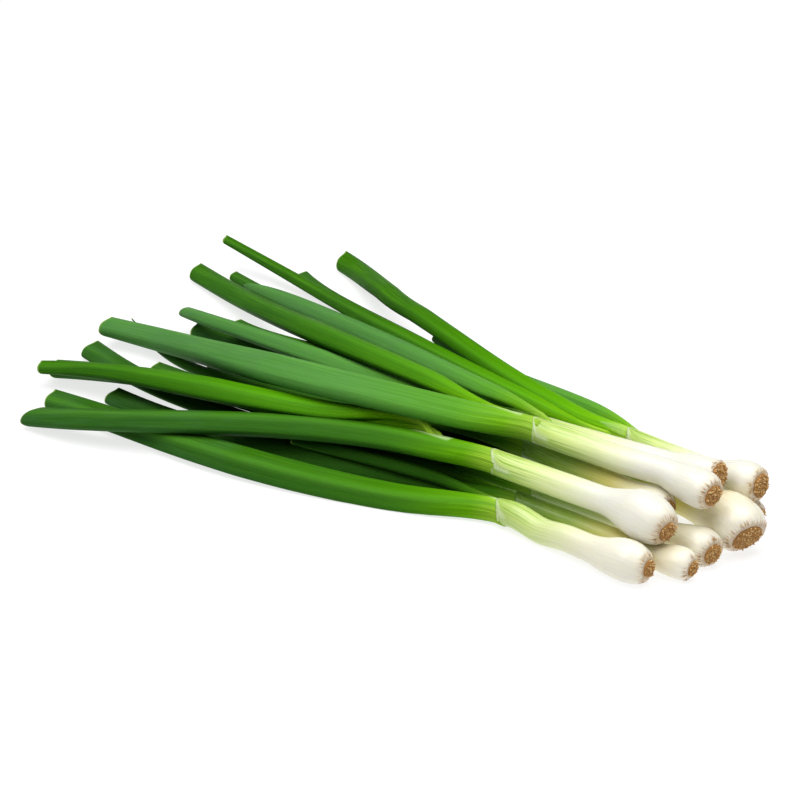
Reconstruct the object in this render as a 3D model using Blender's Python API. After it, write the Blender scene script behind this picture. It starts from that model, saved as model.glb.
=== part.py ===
# A bunch of ten spring onions lying on a table, root ends together and cut leaves fanned out.
# Each onion has a bulb with its shank, a root plate with stubs, and tubular leaves.
# Lengths are millimetres and angles degrees until a mesh is made in metres.
import math
from dataclasses import dataclass

import bmesh
import bpy
import numpy as np

MM = 0.001

# Moves the whole bunch in plan so that its bounding box is centred on the origin.
PLAN_SHIFT = np.array([-9.8, 7.1])

# Clear distance kept between neighbouring pieces, and how deep a resting stem is flattened.
CLEARANCE = 0.35
FLAT_SPOT = 0.4

# The sheath is an open tube at the collar, and the first leaf stands in it.
SHEATH_WALL = 0.8
SOCKET_DEPTH = 6.0
LEAF_PLUG = 5.0

# Leaves are open tubes at the cut end, with a hollow of these depths.
LEAF_WALL = 0.8
HOLLOW_DEPTHS = (0.0, 11.0, 26.0)
LEAST_HOLLOW = 1.7

# The bulb has become the shank this many radii from its root.
BULB_LENGTH = 3.6
BULB_HEAD = (0.0, 0.08, 0.28, 0.6, 0.88)
BULB_FALL = (0.1, 0.3, 0.52, 0.76, 1.0)

# A leaf grows from its foot to its full section over this length.
PLUG_GROWTH = 28.0
FORK_GROWTH = 55.0
FOOT_RADIUS = 1.0
POINT_SHARPNESS = 0.97
FOOT_SPACE = 1.4

# A leaf's curve leaves its start this share of its span long, and its widths are given here.
LEAF_PULL = 0.6
WIDTH_PLACES = (0.1, 0.5, 1.0)

# The root plate, and the stubs raised from it in rings.
PLATE_GAP = 0.35
PLATE_THICKNESS = 0.8
STUB_HEIGHT = 0.9
STUB_RINGS = (1.0, 0.8, 0.55, 0.3)
STUB_SIDES = 16
TUFT_LENGTH = 2.2
LOWEST_ROOT = 0.15

# Counts of faces and rings.
BULB_SIDES = 16
LEAF_SIDES = 10
FIRST_LEAF_RINGS = 15
SIDE_LEAF_RINGS = 14
SHANK_RINGS = 4
PATH_POINTS = 161
SHARP_ANGLE = 50.0

# How a stem settles on the ones below it: springs per millimetre against a weight of one.
ACROSS_SAMPLES = 9
ALONG_SAMPLES = 4
CONTACT_ROUNDS = 120
LIFTING_ROUNDS = 40
SHANK_STIFFNESS = 5e6
LEAF_STIFFNESS = 4e5
FLOOR_SPRING = 0.02
PIN_SPRING = 1e4

# Places in plan are seen from above, x towards the root ends and y away from the viewer.


@dataclass
class Onion:
    """A bulb and its shank up to the collar."""

    centre: tuple  # middle of the bulb in plan
    heading: float  # the way its shank points
    bend: float  # how far the root end is turned from that
    length: float  # from root to collar
    radii: tuple  # of bulb, neck and collar
    head: float  # from the root to the middle of the bulb, in bulb radii
    root_share: float  # radius of the root plate as a share of the bulb
    lift: float  # least level of the collar
    droop: float = 0.0  # how steeply the root end points down


@dataclass
class Leaf:
    """A leaf that passes near and far at one and two thirds of its way and ends at its tip."""

    near: tuple
    far: tuple
    tip: tuple
    turn: float  # how far it turns from its stem where it starts
    halves: tuple  # half widths near the start, half way and at the tip
    flat: float = 0.62  # thickness as a share of the width
    slant: float = 0.0  # slope of the cut across the end
    point: float = 0.0  # length over which the leaf dwindles to a point
    waxy: bool = False
    lift: float = 0.0  # least level of the tip
    fork: float = None  # a side leaf's distance past the collar
    foot: float = 0.0  # angle of a side leaf's foot, up round the stem
    flank: int = 1  # 1 for the far side of the stem, -1 for the near side


ONIONS = {
    1: Onion((157.0, -62.8), 175, 8, 70, (7.5, 4.9, 4.7), 1.18, 0.45, 4.4),
    2: Onion((154.4, -49.0), 180, -14, 82, (8.9, 5.0, 4.8), 1.3, 0.42, 17.0, 7),
    3: Onion((166.0, -31.6), 179, -10, 83, (7.0, 5.2, 4.9), 0.87, 0.6, 25.0, 5),
    4: Onion((157.7, -17.0), 180, 0, 85, (6.1, 4.2, 4.2), 1.1, 0.88, 20.0),
    5: Onion((168.3, -2.9), 169, 8, 67, (7.3, 3.9, 3.9), 0.78, 0.65, 14.0),
    6: Onion((173.9, -19.4), 182, -26, 93, (10.4, 5.0, 4.6), 0.75, 0.6, 4.4, 20),
    7: Onion((171.7, -36.5), 180, -14, 83, (7.0, 4.4, 4.3), 0.68, 0.58, 4.0, 4),
    8: Onion((170.7, -50.0), 178, 4, 80, (6.0, 4.3, 4.3), 0.88, 0.5, 4.0),
    9: Onion((148.5, -33.6), 171, 0, 75, (5.7, 4.5, 4.3), 1.2, 0.55, 13.0),
    10: Onion((166.4, -0.5), 177, -10, 74, (6.0, 4.2, 4.2), 1.1, 0.6, 4.0),
}

LEAVES = {
    "1a": Leaf((30, -80), (-41, -93), (-108, -97), 14, (6.6, 7.3, 5.6), slant=-0.5),
    "1b": Leaf((68, -55), (36, -59), (0, -65), -7, (3.5, 4.1, 3.7), slant=-0.4, flat=0.55, fork=4, foot=10),
    "2a": Leaf((21, -61), (-40, -92), (-99, -113), 2, (6.8, 6.6, 6.0), slant=0.1),
    "2b": Leaf((-14, -64), (-74, -74), (-126, -86), -9, (4.8, 6.8, 4.2), slant=-0.4, fork=35, foot=-5),
    "2c": Leaf((-5, -56), (-67, -64), (-129, -76), -6, (3.7, 5.2, 5.8), slant=-0.4, fork=30, foot=30),
    "3a": Leaf((15, -50), (-66, -42), (-137, -39), 9, (7.8, 9.2, 6.4), slant=-1.1, waxy=True, lift=9),
    "3b": Leaf((-7, -14), (-89, 15), (-162, 43), -14, (4.9, 6.7, 5.7), slant=-0.9, fork=13, foot=5),
    "3c": Leaf(
        (7, -22), (-61, -17), (-122, -3), -14, (3.9, 5.3, 3.6),
        slant=-0.7, waxy=True, fork=20, foot=-35,
    ),
    "3d": Leaf(
        (17, 5), (-57, 28), (-131, 45), -14, (4.6, 5.2, 5.0),
        waxy=True, point=45, fork=0, foot=30,
    ),
    "4a": Leaf((8, 8), (-71, 35), (-147, 53), -8, (3.4, 3.7, 3.2), slant=-0.8),
    "4b": Leaf((19, -10), (-36, -9), (-88, -6), 5, (4.0, 4.5, 3.8), slant=-0.6, fork=10, foot=-10, flank=-1),
    "5b": Leaf((24, 25), (-62, 64), (-119, 97), -2, (4.6, 5.2, 6.4), slant=-0.9),
    "5a": Leaf((11, 19), (-76, 49), (-161, 62), 9, (4.6, 4.8, 2.8), slant=-0.7, lift=14, fork=12, flank=-1),
    "5c": Leaf(
        (70, 29), (25, 35), (-18, 48), -14, (3.9, 4.4, 4.3),
        slant=-0.8, waxy=True, fork=-1, foot=-10,
    ),
    "6a": Leaf((28, -16), (-44, -9), (-113, -8), -3, (4.8, 6.0, 5.4), slant=-0.6),
    "6b": Leaf((31, -26), (-28, -27), (-83, -28), 5, (3.4, 3.6, 3.5), slant=-0.5, fork=10, flank=-1),
    "7a": Leaf((36, -42), (-26, -51), (-88, -56), 2, (4.3, 4.7, 4.2), slant=-0.5),
    "7b": Leaf((42, -32), (0, -36), (-45, -38), -6, (3.3, 3.6, 3.4), slant=-0.5, fork=10, foot=10),
    "8b": Leaf((37, -58), (-29, -71), (-93, -76), 8, (4.2, 4.9, 4.3), slant=-0.5, flat=0.5),
    "8a": Leaf((17, -53), (-60, -60), (-134, -50), -4, (4.2, 5.3, 6.1), slant=-0.7, flat=0.5, fork=8),
    "9a": Leaf((5, -32), (-75, -38), (-147, -12), 4, (4.1, 4.2, 1.5)),
    "9b": Leaf((28, -20), (-16, -14), (-58, -7), -8, (3.6, 3.9, 3.4), slant=-0.7, fork=10, foot=-10),
    "10a": Leaf((32, 28), (-47, 50), (-121, 72), -10, (4.3, 4.5, 4.1), slant=-0.8),
    "10b": Leaf((38, 18), (-24, 34), (-84, 46), 6, (2.9, 3.3, 3.0), slant=-0.7, fork=8, foot=10, flank=-1),
}

# The order in which the onions came to lie on the table, and the leaves of each.
LAYING_ORDER = (
    (8, "ba"),
    (7, "ab"),
    (1, "ab"),
    (10, "ab"),
    (6, "ab"),
    (9, "ba"),
    (2, "acb"),
    (5, "cba"),
    (4, "ba"),
    (3, "cabd"),
)


class Tube:
    """A round or flattened stem: ring centres in plan, half widths, half thicknesses, levels."""

    def __init__(self, plan, wide, thick):
        self.plan = plan
        self.wide = wide
        self.thick = thick
        self.level = np.zeros(len(plan))


# Paths in plan

def smooth_step(value):
    u = np.clip(value, 0, 1)
    return u * u * (3 - 2 * u)


def lengths_along(points):
    steps = np.linalg.norm(np.diff(points, axis=0), axis=1)
    return np.concatenate([[0.0], np.cumsum(steps)])


def at_length(plan, wanted):
    run = lengths_along(plan)
    return np.array([np.interp(wanted, run, plan[:, axis]) for axis in (0, 1)])


def unit(vector):
    return vector / np.linalg.norm(vector)


def turned(vector, angle):
    cosine = math.cos(math.radians(angle))
    sine = math.sin(math.radians(angle))
    return np.array([vector[0] * cosine - vector[1] * sine, vector[0] * sine + vector[1] * cosine])


def shank_path(onion, distances, to_centre):
    """Plan points at distances from the root plate; that end is turned by the bend."""
    fine = np.linspace(distances[0], distances[-1], PATH_POINTS)
    bent = onion.bend * (1 - smooth_step(fine / (BULB_LENGTH * onion.radii[0])))
    turn = np.radians(onion.heading + bent)
    way = np.column_stack([np.cos(turn), np.sin(turn)])
    steps = (way[1:] + way[:-1]) / 2 * np.diff(fine)[:, None]
    line = np.vstack([[0, 0], np.cumsum(steps, axis=0)])
    path = np.column_stack([np.interp(distances, fine, line[:, axis]) for axis in (0, 1)])
    middle = np.array([np.interp(to_centre, fine, line[:, axis]) for axis in (0, 1)])
    return path - middle + np.array(onion.centre)


def leaf_path(leaf, start, way, t):
    """Curve of fourth degree from start, along the turned way, by near and far to the tip."""
    near, far, tip = np.array([leaf.near, leaf.far, leaf.tip], float)
    along = turned(way, leaf.turn) * np.linalg.norm(tip - start) * LEAF_PULL
    thirds = np.array([1 / 3, 2 / 3, 1])
    powers = np.column_stack([thirds**2, thirds**3, thirds**4])
    goals = np.array([near, far, tip]) - start - np.outer(thirds, along)
    square, cube, fourth = np.linalg.solve(powers, goals)
    t = t[:, None]
    return start + along * t + square * t**2 + cube * t**3 + fourth * t**4


# Stems of one onion

def shank_tube(onion):
    """The tuft of roots, the bulb and the shank as one tube; its second ring is the root plate."""
    radius, neck, collar = onion.radii
    to_centre = onion.head * radius
    to_neck = BULB_LENGTH * radius
    head = to_centre * np.array(BULB_HEAD)
    fall = to_centre + (to_neck - to_centre) * np.array(BULB_FALL)
    rest = np.linspace(to_neck, onion.length, SHANK_RINGS + 1)[1:]
    run = np.concatenate([[-TUFT_LENGTH], head, fall, rest])
    root = onion.root_share * radius
    closing = np.sqrt(np.clip(1 - ((to_centre - run) / to_centre) ** 2, 0, 1))
    u = np.clip((run - to_centre) / (to_neck - to_centre), 0, 1)
    bulb = neck + (radius - neck) * (1 + np.cos(math.pi * u)) / 2
    shank = neck + (collar - neck) * (run - to_neck) / (onion.length - to_neck)
    girth = np.where(run <= to_centre, root + (radius - root) * closing, bulb)
    girth = np.where(run > to_neck, shank, girth)
    return Tube(shank_path(onion, run, to_centre), girth, girth.copy())


def leaf_girth(leaf, run, reach, foot, growth):
    """Half width and half thickness at the distances run past the collar or the fork."""
    full = np.interp(run / reach, WIDTH_PLACES, leaf.halves)
    grown = smooth_step(run / growth)
    if leaf.point:
        closing = np.clip(1 - (reach - run) / leaf.point, 0, 1)
        full = full * np.sqrt(1 - POINT_SHARPNESS * closing**2)
    wide = foot + (full - foot) * grown
    thick = foot + (full * leaf.flat - foot) * grown
    return wide, thick


def first_leaf_tube(leaf, shank):
    """The leaf that stands in the sheath; its first two rings are the plug and the mouth."""
    way = unit(shank.plan[-1] - shank.plan[-2])
    start = shank.plan[-1]
    t = np.concatenate([[0, 0.03, 0.08], np.linspace(0.14, 1, FIRST_LEAF_RINGS - 4)])
    plan = np.vstack([start - way * LEAF_PLUG, leaf_path(leaf, start, way, t)])
    run = lengths_along(plan) - LEAF_PLUG
    foot = shank.wide[-1] - SHEATH_WALL - CLEARANCE
    wide, thick = leaf_girth(leaf, run, run[-1], foot, PLUG_GROWTH)
    return Tube(plan, wide, thick)


def side_leaf_tube(leaf, shank, first):
    """A leaf from the flank of the sheath or of the first leaf; returns it and its foot's rise."""
    angle = math.radians(leaf.foot)
    if leaf.fork <= 0:
        way = unit(shank.plan[-1] - shank.plan[-2])
        centre = shank.plan[-1] + way * leaf.fork
        wide = shank.wide[-1]
        thick = shank.thick[-1]
    else:
        place = leaf.fork + LEAF_PLUG
        run = lengths_along(first.plan)
        centre = at_length(first.plan, place)
        way = unit(at_length(first.plan, place + LEAF_PLUG) - centre)
        wide = np.interp(place, run, first.wide)
        thick = np.interp(place, run, first.thick)
    aside = np.array([way[1], -way[0]]) * leaf.flank
    start = centre + aside * (wide + FOOT_SPACE) * math.cos(angle)
    t = np.concatenate([[0, 0.04], np.linspace(0.1, 1, SIDE_LEAF_RINGS - 2)])
    plan = leaf_path(leaf, start, way, t)
    run = lengths_along(plan)
    grown_wide, grown_thick = leaf_girth(leaf, run, run[-1], FOOT_RADIUS, FORK_GROWTH)
    return Tube(plan, grown_wide, grown_thick), (thick + FOOT_SPACE) * math.sin(angle)


# Laying one stem on the others

def top_over(tubes, points):
    """Highest level of the laid tubes at plan points, each tube grown by the clearance."""
    level = np.full(len(points), -1.0)
    for tube in tubes:
        first = tube.plan[:-1]
        step = tube.plan[1:] - first
        span = (step**2).sum(axis=1)
        reach = CLEARANCE / np.sqrt(span)
        away = points[:, None, :] - first[None]
        raw = (away * step[None]).sum(axis=2) / span[None]
        f = np.clip(raw, 0, 1)
        nearest = first[None] + step[None] * f[..., None]
        aside = np.sqrt(((points[:, None, :] - nearest) ** 2).sum(axis=2))
        wide = tube.wide[:-1] + np.diff(tube.wide) * f + CLEARANCE
        thick = tube.thick[:-1] + np.diff(tube.thick) * f + CLEARANCE
        height = tube.level[:-1] + np.diff(tube.level) * f
        inside = (aside < wide) & (raw > -reach) & (raw < 1 + reach)
        bulge = np.sqrt(np.maximum(0, 1 - (aside / wide) ** 2))
        top = np.where(inside, height + thick * bulge, -1.0)
        level = np.maximum(level, top.max(axis=1))
    return level


def supports(tube, below):
    """Lower bounds for the level: the segment, the place on it and the level needed there."""
    count = len(tube.plan)
    way = np.gradient(tube.plan, axis=0)
    way /= np.linalg.norm(way, axis=1)[:, None]
    side = np.column_stack([-way[:, 1], way[:, 0]])
    across = np.sin(np.linspace(-math.pi / 2, math.pi / 2, ACROSS_SAMPLES))
    found = []
    for ring in range(count - 1):
        samples = ALONG_SAMPLES + (ring == count - 2)
        for k in range(samples):
            f = k / ALONG_SAMPLES
            centre = tube.plan[ring] * (1 - f) + tube.plan[ring + 1] * f
            out = side[ring] * (1 - f) + side[ring + 1] * f
            wide = tube.wide[ring] * (1 - f) + tube.wide[ring + 1] * f
            thick = tube.thick[ring] * (1 - f) + tube.thick[ring + 1] * f
            under = thick * np.sqrt(1 - across**2)
            level = top_over(below, centre + np.outer(across * wide, out))
            found.append((ring, f, max((level + under).max(), thick - FLAT_SPOT)))
    return found


def bending(run, stiffness):
    """Stiffness matrix of a springy stem on a soft floor, for levels at the distances run."""
    gaps = np.diff(run)
    matrix = np.eye(len(run)) * FLOOR_SPRING
    for i in range(1, len(run) - 1):
        both = gaps[i - 1] + gaps[i]
        row = np.zeros(len(run))
        row[i - 1] = 2 / (gaps[i - 1] * both)
        row[i + 1] = 2 / (gaps[i] * both)
        row[i] = -row[i - 1] - row[i + 1]
        matrix += stiffness * np.outer(row, row) * both / 2
    return matrix


def lay(tube, below, pins, least_end, stiffness):
    """Sets the levels of a springy stem that rests on those below; pins hold rings at levels."""
    count = len(tube.plan)
    found = supports(tube, below)
    found.append((count - 2, 1.0, least_end))
    segment = np.array([row[0] for row in found])
    part = np.array([row[1] for row in found])
    need = np.array([row[2] for row in found])
    run = lengths_along(tube.plan)
    matrix = bending(run, stiffness)
    weight = -(np.append(np.diff(run), 0) + np.insert(np.diff(run), 0, 0)) / 2
    for ring, level in pins:
        matrix[ring, ring] += PIN_SPRING
        weight[ring] += PIN_SPRING * level
    give = np.linalg.inv(matrix)
    reading = np.zeros((len(found), count))
    reading[np.arange(len(found)), segment] = 1 - part
    reading[np.arange(len(found)), segment + 1] += part
    answer = reading @ give @ reading.T
    unheld = reading @ (give @ weight)
    push = np.zeros(len(found))
    for _ in range(CONTACT_ROUNDS):
        for i in range(len(found)):
            lack = need[i] - unheld[i] - answer[i] @ push
            push[i] = max(0.0, push[i] + lack / answer[i, i])
    level = give @ (weight + reading.T @ push)
    share = (1 - part) ** 2 + part**2
    for _ in range(LIFTING_ROUNDS):
        lack = np.maximum(need - (level[segment] * (1 - part) + level[segment + 1] * part), 0)
        lift = np.zeros(count)
        np.maximum.at(lift, segment, lack * (1 - part) / share)
        np.maximum.at(lift, segment + 1, lack * part / share)
        level = level + lift
    tube.level = level


def tip_down(shank, onion):
    """Turns the root end of a bulb down by its droop, about the middle of the bulb."""
    run = lengths_along(shank.plan) - TUFT_LENGTH
    to_centre = onion.head * onion.radii[0]
    past = np.maximum(2 * to_centre - run, 0) ** 2 / (4 * to_centre)
    shank.level -= math.tan(math.radians(onion.droop)) * (past - to_centre / 4)
    shank.level = np.maximum(shank.level, shank.thick - FLAT_SPOT)


def lay_onion(number, letters, laid):
    """Lays the shank and the leaves of one onion on the tubes already laid."""
    onion = ONIONS[number]
    shank = shank_tube(onion)
    lay(shank, laid, [], onion.lift, SHANK_STIFFNESS)
    tip_down(shank, onion)
    slope = (shank.level[-1] - shank.level[-2]) / np.linalg.norm(shank.plan[-1] - shank.plan[-2])
    own = {letter: LEAVES[f"{number}{letter}"] for letter in letters}
    first_letter = [letter for letter in letters if own[letter].fork is None][0]
    first = first_leaf_tube(own[first_letter], shank)
    below = list(laid)
    leaves = {}
    for letter in letters:
        leaf = own[letter]
        if letter == first_letter:
            tube = first
            pins = [(0, shank.level[-1] - LEAF_PLUG * slope), (1, shank.level[-1])]
            resting_on = below
        else:
            tube, rise = side_leaf_tube(leaf, shank, first)
            past = max(leaf.fork, 0)
            foot = shank.level[-1] + slope * past / 2 + rise
            if first_letter in leaves:
                run = lengths_along(first.plan)
                foot = np.interp(past + LEAF_PLUG, run, first.level) + rise
            pins = [(0, foot), (1, foot)]
            resting_on = below + [shank]
        lay(tube, resting_on, pins, leaf.lift, LEAF_STIFFNESS)
        leaves[letter] = tube
        below.append(tube)
    laid.append(shank)
    laid.extend(leaves.values())
    return shank, leaves


# Meshes

def frames(tube):
    """Ring centres with their tangent, level side vector and upward vector."""
    centre = np.column_stack([tube.plan, tube.level])
    along = np.gradient(centre, axis=0)
    along /= np.linalg.norm(along, axis=1)[:, None]
    side = np.column_stack([-along[:, 1], along[:, 0], np.zeros(len(along))])
    side /= np.linalg.norm(side, axis=1)[:, None]
    up = np.cross(along, side)
    return centre, along, side, up


def ring_points(centre, side, up, wide, thick, sides):
    """A ring whose lowest side lies level."""
    angles = (np.arange(sides) + 0.5) * 2 * math.pi / sides - math.pi / 2
    across = np.cos(angles)[:, None] * wide * side
    upward = np.sin(angles)[:, None] * thick * up
    return centre + across + upward


def closed_skin(rings, sides):
    """Faces of a closed skin over rings, with a point in the middle of each end."""
    faces = []
    count = len(rings)
    for ring in range(count - 1):
        for j in range(sides):
            a = ring * sides + j
            b = ring * sides + (j + 1) % sides
            faces.append((a, b, b + sides, a + sides))
    points = [point for ring in rings for point in ring]
    points.append(rings[0].mean(axis=0))
    points.append(rings[-1].mean(axis=0))
    first = count * sides
    final = (count - 1) * sides
    for j in range(sides):
        after = (j + 1) % sides
        faces.append((first, after, j))
        faces.append((first + 1, final + j, final + after))
    return points, faces


def add_node(name, rings, material, lowest=0.0):
    """A node from rings in millimetres; nothing of it reaches below the table top."""
    points, faces = closed_skin(rings, len(rings[0]))
    points = np.array(points)
    points[:, 2] = np.maximum(points[:, 2], lowest)
    points[:, :2] += PLAN_SHIFT
    mesh = bpy.data.meshes.new(name)
    mesh.from_pydata((points * MM).tolist(), [], faces)
    outward = bmesh.new()
    outward.from_mesh(mesh)
    bmesh.ops.recalc_face_normals(outward, faces=outward.faces)
    outward.to_mesh(mesh)
    outward.free()
    mesh.shade_smooth()
    mesh.set_sharp_from_angle(angle=math.radians(SHARP_ANGLE))
    mesh.materials.append(material)
    node = bpy.data.objects.new(name, mesh)
    bpy.context.scene.collection.objects.link(node)


def build_bulb(name, shank, material):
    """The bulb and shank, with a socket for the first leaf at the collar."""
    centre, along, side, up = frames(shank)
    rings = []
    for i in range(1, len(centre)):
        ring = ring_points(centre[i], side[i], up[i], shank.wide[i], shank.thick[i], BULB_SIDES)
        rings.append(ring)
    inner = shank.wide[-1] - SHEATH_WALL
    floor = centre[-1] - along[-1] * SOCKET_DEPTH
    rings.append(ring_points(centre[-1], side[-1], up[-1], inner, inner, BULB_SIDES))
    rings.append(ring_points(floor, side[-1], up[-1], inner, inner, BULB_SIDES))
    add_node(name, rings, material)


def build_leaf(name, tube, slant, material):
    """A leaf with a slanted cut, hollow at the cut end unless it dwindles to a point."""
    centre, along, side, up = frames(tube)
    rings = []
    for i in range(len(centre)):
        ring = ring_points(centre[i], side[i], up[i], tube.wide[i], tube.thick[i], LEAF_SIDES)
        rings.append(ring)
    lean = (rings[-1] - centre[-1]) @ side[-1] * slant
    rings[-1] = rings[-1] + lean[:, None] * along[-1]
    if tube.thick[-1] > LEAST_HOLLOW:
        run = lengths_along(centre)
        place = [np.interp(run[-1] - depth, run, np.arange(len(run))) for depth in HOLLOW_DEPTHS]
        for at in place:
            middle = np.array([np.interp(at, range(len(run)), centre[:, axis]) for axis in range(3)])
            across = np.array([np.interp(at, range(len(run)), side[:, axis]) for axis in range(3)])
            upward = np.array([np.interp(at, range(len(run)), up[:, axis]) for axis in range(3)])
            wide = np.interp(at, range(len(run)), tube.wide) - LEAF_WALL
            thick = np.interp(at, range(len(run)), tube.thick) - LEAF_WALL
            ring = ring_points(middle, across, upward, wide, thick, LEAF_SIDES)
            if at == place[0]:
                lean = (ring - middle) @ across * slant
                ring = ring + lean[:, None] * along[-1]
            rings.append(ring)
    add_node(name, rings, material)


def build_roots(name, shank, number, material):
    """A plate on the root end, with stubs raised from alternate points of its rings."""
    centre, along, side, up = frames(shank)
    out = -along[1]
    base = centre[1] + out * PLATE_GAP
    radius = shank.wide[1]
    chance = np.random.RandomState(number)
    rings = [ring_points(base, side[1], up[1], radius, radius, STUB_SIDES)]
    for k, share in enumerate(STUB_RINGS):
        ring = ring_points(base, side[1], up[1], radius * share, radius * share, STUB_SIDES)
        stub = (np.arange(STUB_SIDES) + k) % 2 * STUB_HEIGHT
        height = PLATE_THICKNESS + stub * (0.5 + chance.rand(STUB_SIDES))
        if k == 0:
            height = height / 2
        rings.append(ring + height[:, None] * out)
    add_node(name, rings, material, LOWEST_ROOT)


def add_material(name, colour, roughness):
    material = bpy.data.materials.new(name)
    material.use_nodes = True
    shader = material.node_tree.nodes["Principled BSDF"]
    shader.inputs["Base Color"].default_value = (*colour, 1.0)
    shader.inputs["Roughness"].default_value = roughness
    shader.inputs["Metallic"].default_value = 0.0
    return material


def build_bunch():
    for item in list(bpy.data.objects):
        bpy.data.objects.remove(item)
    bulb_skin = add_material("bulb_skin", (0.82, 0.80, 0.62), 0.3)
    leaf_green = add_material("leaf_green", (0.10, 0.32, 0.04), 0.4)
    leaf_waxy = add_material("leaf_waxy", (0.09, 0.25, 0.09), 0.5)
    root_brown = add_material("root_brown", (0.46, 0.27, 0.10), 0.85)
    laid = []
    for number, letters in LAYING_ORDER:
        shank, leaves = lay_onion(number, letters, laid)
        name = f"onion_{number:02d}"
        build_bulb(f"{name}_bulb", shank, bulb_skin)
        build_roots(f"{name}_roots", shank, number, root_brown)
        for letter, tube in leaves.items():
            leaf = LEAVES[f"{number}{letter}"]
            skin = leaf_waxy if leaf.waxy else leaf_green
            build_leaf(f"{name}_leaf_{letter}", tube, leaf.slant, skin)


build_bunch()
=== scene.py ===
import math
from dataclasses import dataclass

import bpy
import numpy as np
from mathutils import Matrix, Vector


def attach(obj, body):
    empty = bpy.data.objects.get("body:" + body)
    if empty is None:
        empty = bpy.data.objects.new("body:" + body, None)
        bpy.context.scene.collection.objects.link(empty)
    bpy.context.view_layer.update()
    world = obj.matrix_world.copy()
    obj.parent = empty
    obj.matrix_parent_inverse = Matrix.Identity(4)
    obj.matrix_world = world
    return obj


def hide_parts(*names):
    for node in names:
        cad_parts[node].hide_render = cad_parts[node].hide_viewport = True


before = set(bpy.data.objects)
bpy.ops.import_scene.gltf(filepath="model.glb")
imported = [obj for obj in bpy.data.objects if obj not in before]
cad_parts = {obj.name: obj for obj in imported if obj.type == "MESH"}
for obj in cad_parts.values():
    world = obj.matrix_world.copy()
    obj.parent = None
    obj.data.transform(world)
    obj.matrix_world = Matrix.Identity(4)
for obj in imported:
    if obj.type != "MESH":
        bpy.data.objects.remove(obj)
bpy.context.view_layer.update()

scene = bpy.context.scene

MM = 0.001
FULL_TURN = 2 * math.pi

# What the solids of the frame were made with.
PLAN_SHIFT = np.array([-9.8, 7.1])
SHEATH_WALL = 0.8
CLEARANCE = 0.35
LEAF_PLUG = 5.0  # length of a first leaf inside its sheath
TUFT_LENGTH = 2.2
BULB_LENGTH = 3.6  # from root to neck, in bulb radii
BULB_HEAD = (0.0, 0.08, 0.28, 0.6, 0.88)  # rings as shares of the way to the bulb's middle
BULB_FALL = (0.1, 0.3, 0.52, 0.76, 1.0)  # and from there to the neck
SHANK_RINGS = 4
BULB_SIDES = 16
FIRST_LEAF_PLACES = np.concatenate([[0, 0.03, 0.08], np.linspace(0.14, 1, 11)])
SIDE_LEAF_PLACES = np.concatenate([[0, 0.04], np.linspace(0.1, 1, 12)])
WIDTH_PLACES = (0.1, 0.5, 1.0)  # where a leaf has its three half widths
PLUG_GROWTH = 28.0  # length over which a first leaf grows to its width
FORK_GROWTH = 55.0  # and a side leaf
FOOT_RADIUS = 1.0
FOOT_SPACE = 1.4  # from the side of a stem to the middle of a side leaf's foot
POINT_SHARPNESS = 0.97
LEAF_PULL = 0.6  # how far a leaf keeps to its first way, as a share of its chord
PATH_POINTS = 161

# The picture's right and up, and the way round a stem that faces the camera, in radians.
RIGHT = np.array([0.766, 0.643, 0.0])
HIGHER = np.array([-0.272, 0.324, 0.906])
FACING = 0.44

# Fineness of the skins. The rings of a bulb crowd together towards the root.
SHANK_FINE_RINGS = 190
SHANK_FINE_SIDES = 64
LEAF_FINE_RINGS = 150
LEAF_FINE_SIDES = 40
CROWDING = 0.7
CROWDING_POWER = 1.8

# Least levels of skins and roots above the table.
SKIN_LEAST = 0.02
ROOT_LEAST = 0.05


@dataclass
class Onion:
    """A bulb and its shank up to the collar."""

    centre: tuple  # middle of the bulb in plan
    heading: float  # the way its shank points, in degrees
    bend: float  # how far the root end is turned from that
    length: float  # from root to collar
    radii: tuple  # of bulb, neck and collar
    head: float  # from the root to the middle of the bulb, in bulb radii
    root_share: float  # radius of the root plate as a share of the bulb


@dataclass
class Leaf:
    """A leaf that passes near and far at one and two thirds of its way and ends at its tip."""

    near: tuple
    far: tuple
    tip: tuple
    turn: float  # how far it turns from its stem where it starts, in degrees
    halves: tuple  # half widths near the start, half way and at the tip
    slant: float = 0.0  # slope of the cut across the end
    flat: float = 0.62  # thickness as a share of the width
    point: float = 0.0  # length over which the leaf dwindles to a point
    waxy: bool = False
    fork: float = None  # a side leaf's distance past the collar
    foot: float = 0.0  # angle of a side leaf's foot, up round the stem
    flank: int = 1  # 1 for the far side of the stem, -1 for the near side


ONIONS = {
    1: Onion((157.0, -62.8), 175, 8, 70, (7.5, 4.9, 4.7), 1.18, 0.45),
    2: Onion((154.4, -49.0), 180, -14, 82, (8.9, 5.0, 4.8), 1.3, 0.42),
    3: Onion((166.0, -31.6), 179, -10, 83, (7.0, 5.2, 4.9), 0.87, 0.6),
    4: Onion((157.7, -17.0), 180, 0, 85, (6.1, 4.2, 4.2), 1.1, 0.88),
    5: Onion((168.3, -2.9), 169, 8, 67, (7.3, 3.9, 3.9), 0.78, 0.65),
    6: Onion((173.9, -19.4), 182, -26, 93, (10.4, 5.0, 4.6), 0.75, 0.6),
    7: Onion((171.7, -36.5), 180, -14, 83, (7.0, 4.4, 4.3), 0.68, 0.58),
    8: Onion((170.7, -50.0), 178, 4, 80, (6.0, 4.3, 4.3), 0.88, 0.5),
    9: Onion((148.5, -33.6), 171, 0, 75, (5.7, 4.5, 4.3), 1.2, 0.55),
    10: Onion((166.4, -0.5), 177, -10, 74, (6.0, 4.2, 4.2), 1.1, 0.6),
}

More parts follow.
